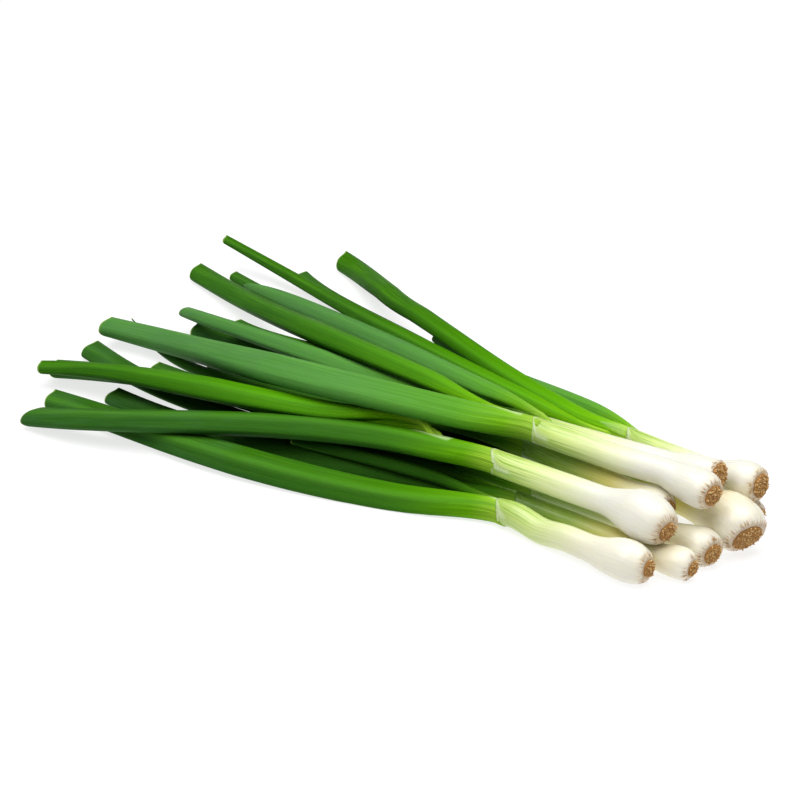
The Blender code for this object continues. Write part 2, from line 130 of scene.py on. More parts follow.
LEAVES = {
    "1a": Leaf((30, -80), (-41, -93), (-108, -97), 14, (6.6, 7.3, 5.6), -0.5),
    "1b": Leaf((68, -55), (36, -59), (0, -65), -7, (3.5, 4.1, 3.7), -0.4, flat=0.55, fork=4, foot=10),
    "2a": Leaf((21, -61), (-40, -92), (-99, -113), 2, (6.8, 6.6, 6.0), 0.1),
    "2b": Leaf((-14, -64), (-74, -74), (-126, -86), -9, (4.8, 6.8, 4.2), -0.4, fork=35, foot=-5),
    "2c": Leaf((-5, -56), (-67, -64), (-129, -76), -6, (3.7, 5.2, 5.8), -0.4, fork=30, foot=30),
    "3a": Leaf((15, -50), (-66, -42), (-137, -39), 9, (7.8, 9.2, 6.4), -1.1, waxy=True),
    "3b": Leaf((-7, -14), (-89, 15), (-162, 43), -14, (4.9, 6.7, 5.7), -0.9, fork=13, foot=5),
    "3c": Leaf(
        (7, -22), (-61, -17), (-122, -3), -14, (3.9, 5.3, 3.6), -0.7,
        waxy=True, fork=20, foot=-35,
    ),
    "3d": Leaf(
        (17, 5), (-57, 28), (-131, 45), -14, (4.6, 5.2, 5.0),
        waxy=True, point=45, fork=0, foot=30,
    ),
    "4a": Leaf((8, 8), (-71, 35), (-147, 53), -8, (3.4, 3.7, 3.2), -0.8),
    "4b": Leaf((19, -10), (-36, -9), (-88, -6), 5, (4.0, 4.5, 3.8), -0.6, fork=10, foot=-10, flank=-1),
    "5b": Leaf((24, 25), (-62, 64), (-119, 97), -2, (4.6, 5.2, 6.4), -0.9),
    "5a": Leaf((11, 19), (-76, 49), (-161, 62), 9, (4.6, 4.8, 2.8), -0.7, fork=12, flank=-1),
    "5c": Leaf((70, 29), (25, 35), (-18, 48), -14, (3.9, 4.4, 4.3), -0.8, waxy=True, fork=-1, foot=-10),
    "6a": Leaf((28, -16), (-44, -9), (-113, -8), -3, (4.8, 6.0, 5.4), -0.6),
    "6b": Leaf((31, -26), (-28, -27), (-83, -28), 5, (3.4, 3.6, 3.5), -0.5, fork=10, flank=-1),
    "7a": Leaf((36, -42), (-26, -51), (-88, -56), 2, (4.3, 4.7, 4.2), -0.5),
    "7b": Leaf((42, -32), (0, -36), (-45, -38), -6, (3.3, 3.6, 3.4), -0.5, fork=10, foot=10),
    "8b": Leaf((37, -58), (-29, -71), (-93, -76), 8, (4.2, 4.9, 4.3), -0.5, flat=0.5),
    "8a": Leaf((17, -53), (-60, -60), (-134, -50), -4, (4.2, 5.3, 6.1), -0.7, flat=0.5, fork=8),
    "9a": Leaf((5, -32), (-75, -38), (-147, -12), 4, (4.1, 4.2, 1.5)),
    "9b": Leaf((28, -20), (-16, -14), (-58, -7), -8, (3.6, 3.9, 3.4), -0.7, fork=10, foot=-10),
    "10a": Leaf((32, 28), (-47, 50), (-121, 72), -10, (4.3, 4.5, 4.1), -0.8),
    "10b": Leaf((38, 18), (-24, 34), (-84, 46), 6, (2.9, 3.3, 3.0), -0.7, fork=8, foot=10, flank=-1),
}

# How fresh each leaf looks, from 0 for an old dark one to 1 for a young bright one.
FRESHNESS = {
    "1a": 0.35, "1b": 0.0, "2a": 0.3, "2b": 1.0, "2c": 0.5, "3a": 0.2, "3b": 0.75, "3c": 0.0,
    "3d": 0.1, "4a": 0.5, "4b": 0.4, "5a": 0.95, "5b": 1.0, "5c": 0.1, "6a": 0.1, "6b": 0.1,
    "7a": 0.1, "7b": 0.0, "8a": 0.2, "8b": 0.0, "9a": 0.2, "9b": 0.3, "10a": 0.5, "10b": 0.4,
}

# Lengthwise ridges of leaves: the angle up from the near side, and the height as a share.
RIDGES = {
    "1a": (52, 0.20), "2a": (72, 0.18), "2b": (62, 0.12), "3a": (95, 0.08), "3b": (75, 0.11),
    "5a": (60, 0.13), "5b": (50, 0.09), "5c": (70, 0.12), "3c": (75, 0.10), "3d": (70, 0.08),
}
PLAIN_RIDGE = (70, 0.10)

# Lengths of the pale streaks below the collars.
STREAKS = {1: 7.5, 2: 13.75, 3: 12.5, 5: 7.5}
PLAIN_STREAK = 8.75

# Some leaves are straighter than the frame's: in the picture they bow from their chord by
# x(x - 1)(first + second x) millimetres, x being the share of the chord. The shift grows over one
# length, and a side leaf starts with its parent's shift and loses it over another.
BOWS = {
    "1a": (31, -21), "2a": (-35, 29), "2b": (13, -33), "3a": (6, -4), "3b": (-1, 20),
    "3c": (-7, 7), "3d": (-5, -6), "5a": (13, -9), "5b": (29, -27), "5c": (-17, 43),
    "8b": (1, 23),
}
MOST_SHIFT = 5.0
SHIFT_GROWTH = 45.0
CARRY_REACH = 60.0

# How far the collar draws back on its near side, in collar radii, and the length it draws on.
COLLAR_SKEW = 0.75
SKEW_REACH = 16.0

# Length over which the cut at a tip draws on the rings, and slopes that differ from the frame's.
CUT_REACH = 26.0
CUTS = {"3a": -0.1}

# Leaves that lie deep in the bunch, with painted shade near their feet.
HIDDEN = ("1b", "6a", "6b", "7a", "7b", "8a", "8b", "9a", "9b")

# How much wider a leaf is than the frame's, as a share, and the length over which it becomes so.
FULLER = {"1a": 0.1, "2a": 0.04, "8b": 0.3, "7a": 0.15}
FULLER_GROWTH = 50.0

# Leaves that end in a thin dry spike, its length, and how much thinner it gets.
SPIKES = ("9a",)
SPIKE_LENGTH = 34.0
SPIKE_LOSS = 0.8

# How much painted shade and painted yellow bounce light a shank has, most on those deep among the
# others. The skin of a collar shows below the limit.
SHADED = {1: 0.2, 6: 1.0, 7: 0.7, 8: 0.9, 9: 0.9}
SHADE_LIMIT = 0.5

# The foot of a side leaf is sunk into its parent by rings behind it: distance back, share of the
# way to the parent's middle, and girth as a share. Then the foot's radius and the growth from it.
SUNK_RINGS = np.array([(16, 0.99, 0.4), (12, 0.94, 0.6), (8, 0.6, 0.8), (4, 0.2, 0.95)])
SUNK_RADIUS = 1.7
SUNK_GROWTH = 42.0

# Space between a first leaf and the rim of its sheath.
SHEATH_GAP = 0.12


# Curves

def smooth_step(value):
    u = np.clip(value, 0, 1)
    return u * u * (3 - 2 * u)


def lengths_along(points):
    steps = np.linalg.norm(np.diff(points, axis=0), axis=1)
    return np.concatenate([[0.0], np.cumsum(steps)])


def read_at(places, run, points):
    """The points of a path, column by column, at the places on its run."""
    columns = [np.interp(places, run, points[:, axis]) for axis in range(points.shape[1])]
    return np.stack(columns, axis=-1)


def unit(vectors):
    return vectors / np.linalg.norm(vectors, axis=-1, keepdims=True)


def turned(vector, angle):
    cosine = math.cos(math.radians(angle))
    sine = math.sin(math.radians(angle))
    x, y = vector
    return np.array([x * cosine - y * sine, x * sine + y * cosine])


def natural_spline(knots, values, places):
    """Smooth curve through the values at the knots, read at the places."""
    count = len(knots)
    gaps = np.diff(knots)
    slopes = np.diff(values) / gaps
    matrix = np.eye(count)
    right = np.zeros(count)
    for i in range(1, count - 1):
        matrix[i, i - 1] = gaps[i - 1]
        matrix[i, i] = 2 * (gaps[i - 1] + gaps[i])
        matrix[i, i + 1] = gaps[i]
        right[i] = 6 * (slopes[i] - slopes[i - 1])
    curve = np.linalg.solve(matrix, right)
    i = np.clip(np.searchsorted(knots, places) - 1, 0, count - 2)
    h = gaps[i]
    a = (knots[i + 1] - places) / h
    b = (places - knots[i]) / h
    bent = ((a**3 - a) * curve[i] + (b**3 - b) * curve[i + 1]) * h**2 / 6
    return a * values[i] + b * values[i + 1] + bent


def shank_path(onion, distances):
    """Plan points at distances from the root plate; that end is turned by the bend."""
    fine = np.linspace(-TUFT_LENGTH, onion.length, PATH_POINTS)
    bent = onion.bend * (1 - smooth_step(fine / (BULB_LENGTH * onion.radii[0])))
    turn = np.radians(onion.heading + bent)
    way = np.column_stack([np.cos(turn), np.sin(turn)])
    steps = (way[1:] + way[:-1]) / 2 * np.diff(fine)[:, None]
    line = np.vstack([[0, 0], np.cumsum(steps, axis=0)])
    middle = read_at(onion.head * onion.radii[0], fine, line)
    return read_at(distances, fine, line) - middle + np.array(onion.centre)


def leaf_path(leaf, start, way, t):
    """Curve of fourth degree from start, along the turned way, by near and far to the tip."""
    near, far, tip = np.array([leaf.near, leaf.far, leaf.tip], float)
    along = turned(way, leaf.turn) * np.linalg.norm(tip - start) * LEAF_PULL
    thirds = np.array([1 / 3, 2 / 3, 1])
    powers = np.column_stack([thirds**2, thirds**3, thirds**4])
    goals = np.array([near, far, tip]) - start - np.outer(thirds, along)
    square, cube, fourth = np.linalg.solve(powers, goals)
    t = t[:, None]
    return start + along * t + square * t**2 + cube * t**3 + fourth * t**4


def shank_girth(onion, run):
    radius, neck, collar = onion.radii
    to_centre = onion.head * radius
    to_neck = BULB_LENGTH * radius
    root = onion.root_share * radius
    closing = np.sqrt(np.clip(1 - ((to_centre - run) / to_centre) ** 2, 0, 1))
    u = np.clip((run - to_centre) / (to_neck - to_centre), 0, 1)
    bulb = neck + (radius - neck) * (1 + np.cos(math.pi * u)) / 2
    shank = neck + (collar - neck) * (run - to_neck) / (onion.length - to_neck)
    girth = np.where(run <= to_centre, root + (radius - root) * closing, bulb)
    return np.where(run > to_neck, shank, girth)


def leaf_girth(leaf, run, reach, foot, growth):
    """Half width and half thickness at the distances run past the collar or the fork."""
    full = np.interp(run / reach, WIDTH_PLACES, leaf.halves)
    grown = smooth_step(run / growth)
    if leaf.point:
        closing = np.clip(1 - (reach - run) / leaf.point, 0, 1)
        full = full * np.sqrt(1 - POINT_SHARPNESS * closing**2)
    wide = foot + (full - foot) * grown
    thick = foot + (full * leaf.flat - foot) * grown
    return wide, thick


# Stems that follow the solids of the frame

def node_of(number, part):
    return f"onion_{number:02d}_{part}"


def solid_levels(node, plan, wide, turn=0.0, slant=0.0):
    """Centre levels of a solid's rings, from the corners that lie a turn from their sides."""
    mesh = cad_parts[node].data
    points = np.array([tuple(vertex.co) for vertex in mesh.vertices]) / MM
    points[:, :2] -= PLAN_SHIFT
    points = np.unique(points.round(3), axis=0)
    way = unit(np.gradient(plan, axis=0))
    side = np.column_stack([-way[:, 1], way[:, 0]])
    corners = 2 if turn else 1
    level = []
    for ring in range(len(plan)):
        lean = slant if ring == len(plan) - 1 else 0.0
        heights = []
        for hand in (-1, 1):
            reach = hand * wide[ring] * math.cos(turn)
            place = plan[ring] + reach * (side[ring] + lean * way[ring])
            away = np.linalg.norm(points[:, :2] - place, axis=1)
            nearest = np.argsort(away)[:corners]
            heights.append(points[nearest, 2].mean())
        level.append(sum(heights) / 2)
    return np.array(level)


class Stem:
    """A fine tube: ring centres, half widths and half thicknesses, with distances along."""

    def __init__(self, centre, wide, thick, run, shift=0.0):
        self.centre = centre
        self.wide = wide
        self.thick = thick
        self.run = run
        self.shift = np.zeros(len(run)) + shift
        self.along = unit(np.gradient(centre, run, axis=0))
        self.side = unit(np.cross([0, 0, 1], self.along))
        self.up = np.cross(self.along, self.side)

    def points(self, across, upward, ring=slice(None)):
        """Points at distances across and upward from the centres of all rings or of one."""
        centre, side, up = (axis[ring][..., None, :] for axis in (self.centre, self.side, self.up))
        return centre + across[..., None] * side + upward[..., None] * up


def straightened(key, stem):
    """Moves the rings of a leaf in the plane of the picture so that it bows by its row of BOWS."""
    if key not in BOWS:
        return stem
    first, second = BOWS[key]
    start = stem.centre[np.searchsorted(stem.run, 0)]
    across = (stem.centre - start) @ RIGHT
    upward = (stem.centre - start) @ HIGHER
    chord = math.hypot(across[-1], upward[-1])
    x = (across * across[-1] + upward * upward[-1]) / chord**2
    beside = (across * upward[-1] - upward * across[-1]) / chord
    shift = (x * (x - 1) * (first + second * x) - beside) * smooth_step(stem.run / SHIFT_GROWTH)
    shift = np.clip(shift, -MOST_SHIFT, MOST_SHIFT)
    centre = stem.centre + np.outer(shift, HIGHER)
    return Stem(centre, stem.wide, stem.thick, stem.run, shift)


def cad_runs(onion):
    """Distances from the root plate of the rings of the frame's solid, tuft first."""
    to_centre = onion.head * onion.radii[0]
    to_neck = BULB_LENGTH * onion.radii[0]
    head = to_centre * np.array(BULB_HEAD)
    fall = to_centre + (to_neck - to_centre) * np.array(BULB_FALL)
    rest = np.linspace(to_neck, onion.length, SHANK_RINGS + 1)[1:]
    return np.concatenate([[-TUFT_LENGTH], head, fall, rest])


def shank_stem(number):
    """The fine shank, from the root plate to the collar."""
    onion = ONIONS[number]
    coarse = cad_runs(onion)
    plan = shank_path(onion, coarse)
    girth = shank_girth(onion, coarse)
    level = solid_levels(node_of(number, "bulb"), plan, girth, turn=math.pi / BULB_SIDES)
    # The tuft and the two close rings next to the root plate would make the curve uneven.
    knots = [1, *range(4, len(coarse))]
    u = np.linspace(0, 1, SHANK_FINE_RINGS)
    run = onion.length * ((1 - CROWDING) * u + CROWDING * u**CROWDING_POWER)
    fine_level = natural_spline(coarse[knots], level[knots], run)
    fine_girth = shank_girth(onion, run)
    centre = np.column_stack([shank_path(onion, run), fine_level])
    return Stem(centre, fine_girth, fine_girth, run)


def first_leaf_stem(number, key, shank_plan):
    """The fine first leaf, and the plan and half widths of the frame's rings."""
    leaf = LEAVES[key]
    collar = ONIONS[number].radii[2]
    way = unit(shank_plan[-1] - shank_plan[-2])
    start = shank_plan[-1]
    plan = np.vstack([start - way * LEAF_PLUG, leaf_path(leaf, start, way, FIRST_LEAF_PLACES)])
    run = lengths_along(plan) - LEAF_PLUG
    wide, _ = leaf_girth(leaf, run, run[-1], collar - SHEATH_WALL - CLEARANCE, PLUG_GROWTH)
    level = solid_levels(node_of(number, f"leaf_{key[-1]}"), plan, wide, slant=leaf.slant)
    fine_plan = np.vstack([
        start - way * LEAF_PLUG,
        start - way * LEAF_PLUG / 2,
        leaf_path(leaf, start, way, np.linspace(0, 1, LEAF_FINE_RINGS)),
    ])
    fine_run = lengths_along(fine_plan) - LEAF_PLUG
    scaled = np.clip(fine_run * run[-1] / fine_run[-1], run[0], run[-1])
    centre = np.column_stack([fine_plan, natural_spline(run, level, scaled)])
    halves = leaf_girth(leaf, scaled, run[-1], collar - SHEATH_GAP, PLUG_GROWTH)
    return straightened(key, Stem(centre, *halves, fine_run)), (plan, wide)


def fork_in_plan(number, leaf, shank_plan, first_rings):
    """Middle, way and half width of the stem that a side leaf leaves, where it leaves it."""
    if leaf.fork <= 0:
        way = unit(shank_plan[-1] - shank_plan[-2])
        return shank_plan[-1] + way * leaf.fork, way, ONIONS[number].radii[2]
    plan, wide = first_rings
    run = lengths_along(plan) - LEAF_PLUG
    centre = read_at(leaf.fork, run, plan)
    way = unit(read_at(leaf.fork + LEAF_PLUG, run, plan) - centre)
    return centre, way, np.interp(leaf.fork, run, wide)


def side_leaf_stem(number, key, shank_plan, first_rings, shank, first_leaf):
    """The fine side leaf; it rises out of the sheath or of the first leaf."""
    leaf = LEAVES[key]
    middle, way, wide = fork_in_plan(number, leaf, shank_plan, first_rings)
    aside = np.array([way[1], -way[0]]) * leaf.flank
    start = middle + aside * (wide + FOOT_SPACE) * math.cos(math.radians(leaf.foot))
    plan = leaf_path(leaf, start, way, SIDE_LEAF_PLACES)
    run = lengths_along(plan)
    coarse_wide, _ = leaf_girth(leaf, run, run[-1], FOOT_RADIUS, FORK_GROWTH)
    node = node_of(number, f"leaf_{key[-1]}")
    level = solid_levels(node, plan, coarse_wide, slant=leaf.slant)
    fine_plan = leaf_path(leaf, start, way, np.linspace(0, 1, LEAF_FINE_RINGS))
    fine_run = lengths_along(fine_plan)
    scaled = fine_run * run[-1] / fine_run[-1]
    centre = np.column_stack([fine_plan, natural_spline(run, level, scaled)])
    parent, fork = shank, shank.run[-1] + leaf.fork
    if leaf.fork > 0:
        parent, fork = first_leaf, leaf.fork
    carried = np.interp(fork, parent.run, parent.shift)
    centre += np.outer(carried * (1 - smooth_step(fine_run / CARRY_REACH)), HIGHER)

    back, share, girth = SUNK_RINGS.T
    inner = read_at(fork - back, parent.run, parent.centre)
    outer = centre[0] - np.outer(back, [*way, 0])
    sunk = outer * (1 - share)[:, None] + inner * share[:, None]
    fine_run = np.concatenate([-back, fine_run])
    scaled = np.concatenate([-back, scaled])
    halves = leaf_girth(leaf, scaled, run[-1], SUNK_RADIUS, SUNK_GROWTH)
    for half in halves:
        half[:len(girth)] *= girth
    return straightened(key, Stem(np.vstack([sunk, centre]), *halves, fine_run))


# Meshes

def add_object(name, data):
    added = bpy.data.objects.new(name, data)
    scene.collection.objects.link(added)
    return added


def add_piece(name, points, faces, material, values, node):
    """A piece from points in millimetres, with named values at its points."""
    points = np.array(points)
    points[:, :2] += PLAN_SHIFT
    mesh = bpy.data.meshes.new(name)
    mesh.from_pydata((points * MM).tolist(), [], faces)
    mesh.shade_smooth()
    for key, numbers in values.items():
        numbers = np.array(numbers, float)
        if numbers.ndim == 2:
            layer = mesh.attributes.new(key, "FLOAT_VECTOR", "POINT")
            layer.data.foreach_set("vector", numbers.ravel())
        else:
            layer = mesh.attributes.new(key, "FLOAT", "POINT")
            layer.data.foreach_set("value", numbers)
    mesh.materials.append(material)
    piece = add_object(name, mesh)
    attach(piece, "root")
    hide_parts(node)


def skin_faces(rings, sides):
    """Quads over rings of points and a face over each end, all facing away from the middle."""
    faces = []
    for ring in range(rings - 1):
        for j in range(sides):
            a = ring * sides + j
            b = ring * sides + (j + 1) % sides
            faces.append((a, a + sides, b + sides, b))
    faces.append(tuple(range(sides)))
    faces.append(tuple(range(rings * sides - 1, (rings - 1) * sides - 1, -1)))
    return faces


def ring_angles(sides):
    """Angles up from the near side, from under the stem right round it."""
    return (np.arange(sides) + 0.5) * FULL_TURN / sides - math.pi / 2


def waves(table, run, phases):
    """Sum of waves along a stem, from rows of length and height."""
    rows = zip(table, phases)
    return sum(height * np.sin(run / length + phase) for (length, height), phase in rows)


def above(points, least):
    """The rings' points in one list, none of them below the least level."""
    flat = np.array(points).reshape(-1, 3)
    flat[:, 2] = np.maximum(flat[:, 2], least)
    return flat


# The skin at a collar, in degrees and millimetres. A pale streak comes down from the top of the rim
# and turns to the near side, lines above it fan out, and the rim has an uneven pale band.
STREAK_WAY = 5.0
STREAK_TURN = 110.0
STREAK_CURL = 1.4
STREAK_HALF = 12.0
STREAK_FLARE = 16.0
FLARE_REACH = 4.0
STREAK_FADE = 4.0
STREAK_HEIGHT = 0.06
FAN_WAY = 115.0
FAN_REACH = 2.2
MOST_FAN = 0.93
MOST_LINE = 400.0
BAND_DEPTH = 2.1
BAND_HEIGHT = 0.04

# The rim's edge is drawn in, and rings inside it have an inset and a depth.
RIM_TUCK = 0.16
RIM_REACH = 0.7
MOUTH_RINGS = ((0.4, 0.3), (0.8, 6.0))
SKEW_POWER = 1.5

# How far bulbs are out of round and uneven, and the ribs round the root end.
OVAL = 0.014
LOBED = 0.008
BULB_WAVES = ((9, 0.010), (4.3, 0.006))
BULB_WAVES_START = 12.0
RIBS = range(7, 24)
RIB_HEIGHT = 0.05
RIB_REACH = 0.45

# Radius of the ring of noise space that a skin is wrapped round, and the step between skins.
BULB_GRAIN = 5.0
LEAF_GRAIN = 6.0
BULB_GRAIN_STEP = 40.0
LEAF_GRAIN_STEP = 37.0


def collar_marks(number, run, angles):
    """Line angles, pale streak and pale band of the skin near the collar."""
    back = np.maximum(ONIONS[number].length - run, 0)[:, None]
    around = np.degrees(angles)[None, :]
    streak_way = STREAK_WAY + STREAK_TURN * np.exp(-back / STREAK_CURL)
    half = STREAK_HALF + STREAK_FLARE * np.exp(-back / FLARE_REACH)
    length = STREAKS.get(number, PLAIN_STREAK)
    streak = np.exp(-((around - streak_way) / half) ** 2)
    streak = streak * smooth_step((length - back) / STREAK_FADE)
    fan = np.minimum(np.exp(-back / FAN_REACH), MOST_FAN)
    fanned = (around - FAN_WAY * fan) / (1 - fan)
    line = np.clip(np.where(around > streak_way, fanned, around), -MOST_LINE, MOST_LINE)
    edge = BAND_DEPTH + 0.5 * np.sin(3 * angles + number) + 0.3 * np.sin(7 * angles)
    band = smooth_step(edge - back)
    shown = float(SHADED.get(number, 0.0) < SHADE_LIMIT)
    return line, streak * shown, band * shown


def bulb_girth(onion, stem, angles, chance):
    """Half widths round the rings of a bulb, a little out of round, with ribs near the root."""
    run = stem.run
    tilt = chance.rand(6) * FULL_TURN
    bulge = OVAL * np.sin(2 * angles + tilt[0]) + LOBED * np.sin(3 * angles + tilt[1])
    uneven = waves(BULB_WAVES, run, tilt[2:4]) * smooth_step(run / BULB_WAVES_START)
    ribs = np.zeros(len(angles))
    for count in RIBS:
        ribs += np.cos(count * angles + chance.rand() * FULL_TURN) * chance.rand()
    girth = stem.wide[:, None] * (1 + bulge) * (1 + uneven)[:, None]
    return girth + np.outer(np.exp(-run / (RIB_REACH * onion.radii[0])), ribs) * RIB_HEIGHT


def build_bulb(number, stem, material):
    onion = ONIONS[number]
    chance = np.random.RandomState(100 + number)
    angles = ring_angles(SHANK_FINE_SIDES)
    run = stem.run
    line, streak, band = collar_marks(number, run, angles)
    girth = bulb_girth(onion, stem, angles, chance)
    girth = girth + STREAK_HEIGHT * streak + BAND_HEIGHT * band
    girth = girth - RIM_TUCK * smooth_step((run - onion.length) / RIM_REACH + 1)[:, None]
    near_collar = np.clip(1 - (onion.length - run) / SKEW_REACH, 0, 1) ** SKEW_POWER
    near_side = np.maximum(np.cos(angles), 0)
    skew = np.outer(near_collar, near_side * COLLAR_SKEW * onion.radii[2])
    skin = stem.points(np.cos(angles) * girth, np.sin(angles) * girth)
    rings = list(skin - skew[..., None] * stem.along[:, None])
    for inset, depth in MOUTH_RINGS:
        within = stem.wide[-1] - inset
        ring = stem.points(np.cos(angles) * within, np.sin(angles) * within, -1)
        rings.append(ring - (skew[-1] + depth)[:, None] * stem.along[-1])
    points = above(rings, SKIN_LEAST)
    # The rings inside the rim have the values of the rim.
    ring_of = np.minimum(np.arange(len(rings)), len(run) - 1)
    spread = np.repeat(run[ring_of], SHANK_FINE_SIDES)
    line = np.radians(line[ring_of]).ravel()
    grain = [np.cos(line) * BULB_GRAIN, np.sin(line) * BULB_GRAIN]
    values = {
        "share": spread / onion.length,
        "root_near": spread / onion.radii[0],
        "streak": streak[ring_of].ravel(),
        "band": band[ring_of].ravel(),
        "shaded": np.full(len(points), SHADED.get(number, 0.0)),
        "grain": np.column_stack([*grain, spread + BULB_GRAIN_STEP * number]),
    }
    faces = skin_faces(len(rings), SHANK_FINE_SIDES)
    name = node_of(number, "bulb")
    add_piece(f"{name}_skin", points, faces, material, values, name)


# The pale membrane on a first leaf where side leaves come out of it. By their flank it has a middle
# in degrees round the leaf and a strength.
MEMBRANES = {1: (125, 1.0), -1: (65, 0.4)}
MEMBRANE_HALF = 46.0
MEMBRANE_EDGE = 12.0
MEMBRANE_BEFORE = 14.0
MEMBRANE_AFTER = 3.0

# Unevenness of leaves, and the change at a trimmed tip: flatter, wider and rolled.
LEAF_WIDTH_WAVES = ((23, 0.012), (9, 0.006))
LEAF_THICKNESS_WAVES = ((31, 0.02),)
TIP_FLATTER = 0.1
TIP_WIDER = 0.01
TIP_ROLL = math.radians(4)
CUT_POWER = 1.5
CUT_ROUNDING = 0.5

# The relief across a leaf, in radians from its ridge: a second lower ridge and two dips.
RIDGE_HALF = 0.3
SECOND_RIDGE = (-1.25, 0.25, 0.6)
DIPS = ((-0.62, 0.35), (0.7, 0.4))
DIP_DEPTH = 0.45
RELIEF_GROWTH = 40.0
RELIEF_LOSS = 0.8
# Edge and strength of the painted shade on the facet below the ridge.
FACET_EDGE = 0.16
FACET_GAIN = 4.0
# Strength of the painted highlight along the crest.
CREST_GAIN = 8.0
# How far the painted shade on the lower side of a leaf is turned round it.
SKY_LEAN = 0.4

# Rings inside a cut leaf: how many rings back they lie, and the wall outside them.
WALL_RINGS = ((0, 0.3), (0, 0.5), (1, 0.9))
LEAST_THICKNESS = 1.1


def membrane_of(number, leaf, run, angles):
    """Where the skin of a first leaf is the pale membrane that side leaves come out of."""
    forks = [other for key, other in LEAVES.items() if key[:-1] == str(number) and other.fork]
    if leaf.fork is not None or not forks:
        return np.zeros((len(run), len(angles)))
    fork = max(other.fork for other in forks)
    middle, strength = MEMBRANES[min(other.flank for other in forks)]
    end = fork + MEMBRANE_AFTER
    begin = max(0, fork - MEMBRANE_BEFORE)
    half = MEMBRANE_HALF * np.clip((end - run) / (end - begin), 0, 1) ** 0.8
    half = half * (run > begin - 2)
    aside = abs(np.degrees(angles) - middle)
    return smooth_step((half[:, None] - aside) / MEMBRANE_EDGE) * strength


def leaf_halves(key, stem, pinch, chance):
    """Half widths and half thicknesses of the fine rings of a leaf."""
    run = stem.run
    phase = chance.rand(5) * FULL_TURN
    fuller = 1 + FULLER.get(key, 0.0) * smooth_step(run / FULLER_GROWTH)
    if key in SPIKES:
        fuller = fuller * (1 - SPIKE_LOSS * smooth_step((run - run[-1]) / SPIKE_LENGTH + 1))
    wide = stem.wide * (1 + waves(LEAF_WIDTH_WAVES, run, phase[:2]))
    thick = stem.thick * (1 + waves(LEAF_THICKNESS_WAVES, run, phase[2:3]))
    return wide * fuller * (1 + TIP_WIDER * pinch), thick * fuller * (1 - TIP_FLATTER * pinch)


def leaf_relief(aside, height):
    """Ridges and dips round a leaf as shares of its width, by the angle from its ridge."""
    away, half, share = SECOND_RIDGE
    relief = np.exp(-np.abs(aside) / RIDGE_HALF)
    relief = relief + share * np.exp(-np.abs(aside - away) / half)
    for place, width in DIPS:
        relief = relief - DIP_DEPTH * np.exp(-((aside - place) / width) ** 2)
    return relief * height


def trimmed(points, stem, slope, width, angles):
    """Draws the rings near the tip to a slanted cut, rounded at the sides and on the far side."""
    facing = angles - FACING
    rounding = np.abs(np.sin(facing)) ** 3 + np.maximum(-np.cos(facing), 0) ** 2
    beside = np.einsum("rsk,rk->rs", points - stem.centre[:, None], stem.side)
    share = np.clip((stem.run - stem.run[-1]) / CUT_REACH + 1, 0, 1) ** CUT_POWER
    drawn = (beside * slope - CUT_ROUNDING * width * rounding) * share[:, None]
    return points + drawn[..., None] * stem.along[:, None]


def inner_ring(points, stem, wide, thick, ring, wall):
    """A ring of points inside one of the rings, behind a wall."""
    centre, side = stem.centre[ring], stem.side[ring]
    local = points[ring] - centre
    beside = np.outer(local @ side, side)
    narrower = 1 - wall / wide[ring]
    thinner = 1 - wall / max(thick[ring], LEAST_THICKNESS)
    return centre + beside * narrower + (local - beside) * thinner


def build_leaf(number, key, stem, material):
    leaf = LEAVES[key]
    chance = np.random.RandomState(1000 + 10 * number + ord(key[-1]))
    angles = ring_angles(LEAF_FINE_SIDES)
    run = stem.run
    pinch = smooth_step((run - run[-1]) / CUT_REACH + 1) * bool(leaf.slant)
    wide, thick = leaf_halves(key, stem, pinch, chance)
    place, height = RIDGES.get(key, PLAIN_RIDGE)
    aside = angles - math.radians(place)
    grown = smooth_step(run / RELIEF_GROWTH) * (1 - RELIEF_LOSS * pinch)
    shape = 1 + np.outer(grown, leaf_relief(aside, height))
    flat_across = np.cos(angles) * wide[:, None] * shape
    flat_upward = np.sin(angles) * thick[:, None] * shape
    cosine = np.cos(TIP_ROLL * pinch)[:, None]
    sine = np.sin(TIP_ROLL * pinch)[:, None]
    across = flat_across * cosine + flat_upward * sine
    upward = flat_upward * cosine - flat_across * sine
    slope = CUTS.get(key, leaf.slant)
    rings = trimmed(stem.points(across, upward), stem, slope, wide[-1], angles)
    ring_of = np.arange(len(run))
    inside = np.zeros(len(run))
    if leaf.slant:
        inner = [len(run) - 1 - back for back, _ in WALL_RINGS]
        walls = [wall for _, wall in WALL_RINGS]
        within = [inner_ring(rings, stem, wide, thick, *pair) for pair in zip(inner, walls)]
        rings = np.concatenate([rings, within])
        ring_of = np.append(ring_of, inner)
        inside = np.append(inside, np.ones(len(inner)))
    points = above(rings, SKIN_LEAST)
    membrane = membrane_of(number, leaf, run, angles)
    membrane = membrane[ring_of] * (1 - inside)[:, None]
    spread = np.repeat(run[ring_of], LEAF_FINE_SIDES)
    around = np.tile(angles, len(rings))
    facet_shade = smooth_step(-aside / FACET_EDGE) * min(1.0, height * FACET_GAIN)
    crest_highlight = np.exp(-((aside / RIDGE_HALF) ** 2)) * height * CREST_GAIN
    grain = [np.cos(around) * LEAF_GRAIN, np.sin(around) * LEAF_GRAIN]
    values = {
        "run": spread,
        "to_tip": run[-1] - spread,
        "inside": np.repeat(inside, LEAF_FINE_SIDES),
        "upward": np.sin(around + SKY_LEAN),
        "membrane": membrane.ravel(),
        "fresh": np.full(len(points), FRESHNESS[key]),
        "painted_shade": np.full(len(points), float(key in HIDDEN)),
        "facet_shade": np.tile(facet_shade, len(rings)),
        "crest_highlight": np.tile(crest_highlight, len(rings)),
        "grain": np.column_stack([*grain, spread + LEAF_GRAIN_STEP * chance.rand()]),
    }
    faces = skin_faces(len(rings), LEAF_FINE_SIDES)
    name = node_of(number, f"leaf_{key[-1]}")
    add_piece(f"{name}_skin", points, faces, material, values, name)


